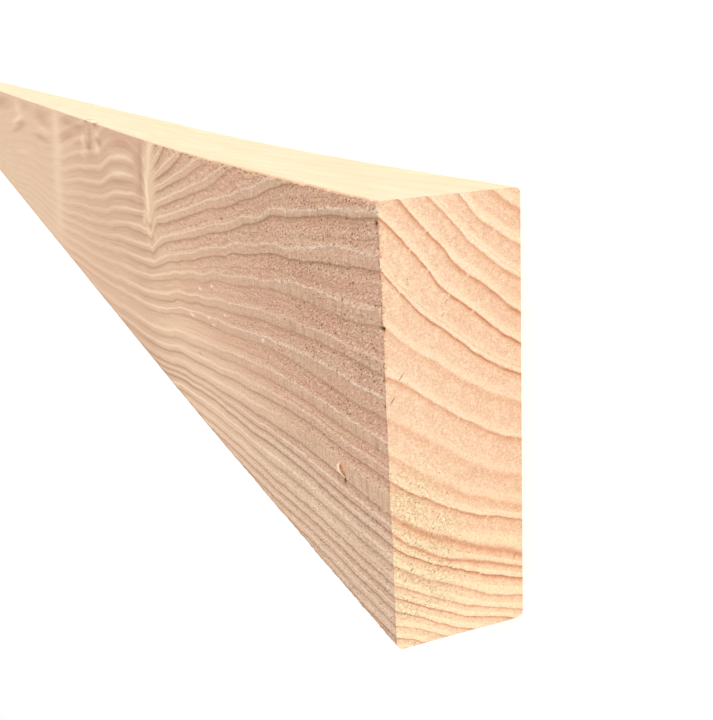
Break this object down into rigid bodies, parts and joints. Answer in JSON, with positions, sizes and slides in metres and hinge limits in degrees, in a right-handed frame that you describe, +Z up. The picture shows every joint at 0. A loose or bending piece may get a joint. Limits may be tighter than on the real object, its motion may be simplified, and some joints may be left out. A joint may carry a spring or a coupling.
{
  "type": "timber plank",
  "caption": "Long sawn softwood plank of rectangular section, square-cut at both ends, with a slight crook near one end.",
  "frame": {"origin": "under the middle of the bounding box, on the wide face that the plank rests on", "axes": "+Y along the length, away from the pictured end; +X across the width, towards the narrow edge that the picture shows; +Z up through the thickness, out of the pictured wide face"},
  "size_m": [0.1502, 2.402, 0.047],
  "materials": {
    "sawn_softwood": "rough sawn, unfinished"
  },
  "bodies": {
    "root": {"plank": "sawn_softwood"}
  },
  "joints": []
}
